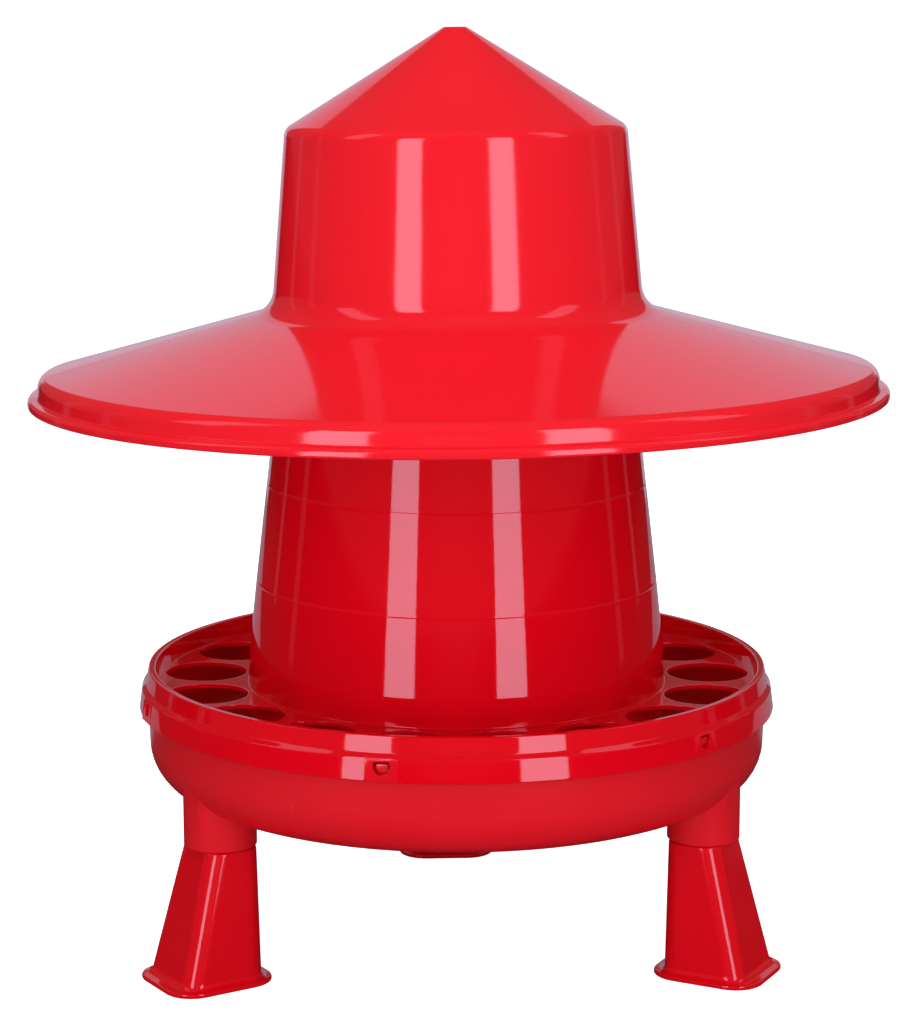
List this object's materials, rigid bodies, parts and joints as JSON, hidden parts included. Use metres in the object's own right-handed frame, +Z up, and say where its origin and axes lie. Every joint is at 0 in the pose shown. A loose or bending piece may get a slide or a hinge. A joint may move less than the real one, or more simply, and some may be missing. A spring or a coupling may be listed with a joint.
{
  "type": "poultry feeder",
  "caption": "Free-standing gravity feeder for hens: tapered hopper in a round feed bowl under a ring plate of head holes, with a lift-off conical rain hat and push-in legs.",
  "frame": {"origin": "on the vertical centre line, on the floor that the three feet stand on", "axes": "+Z up along the centre line, -Y towards the viewer of the picture, +X to the viewer's right"},
  "size_m": [0.5, 0.5, 0.5375],
  "materials": {
    "hat_red": "glossy injection-moulded polypropylene, bright red, faint flow lines and fine scuffs",
    "hopper_red": "glossy injection-moulded polypropylene, red, faint ring witness lines",
    "bowl_red": "satin to semi-gloss polypropylene, red",
    "leg_red": "glossy injection-moulded polypropylene, red"
  },
  "bodies": {
    "base": {"feed_bowl": "bowl_red", "head_grid": "hopper_red", "hopper": "hopper_red", "feed_cone": "bowl_red"},
    "hat": {"rain_hat": "hat_red"},
    "leg_left_body": {"leg_left": "leg_red"},
    "leg_right_body": {"leg_right": "leg_red"},
    "leg_rear_body": {"leg_rear": "leg_red"}
  },
  "joints": [
    {"name": "hat_lift", "type": "slide", "parent": "base", "child": "hat", "axis": [0, 0, 1], "range_m": [0, 0.17]},
    {"name": "leg_left_pull", "type": "slide", "parent": "base", "child": "leg_left_body", "axis": [0, 0, -1], "range_m": [0, 0.018]},
    {"name": "leg_right_pull", "type": "slide", "parent": "base", "child": "leg_right_body", "axis": [0, 0, -1], "range_m": [0, 0.018]},
    {"name": "leg_rear_pull", "type": "slide", "parent": "base", "child": "leg_rear_body", "axis": [0, 0, -1], "range_m": [0, 0.018]}
  ]
}
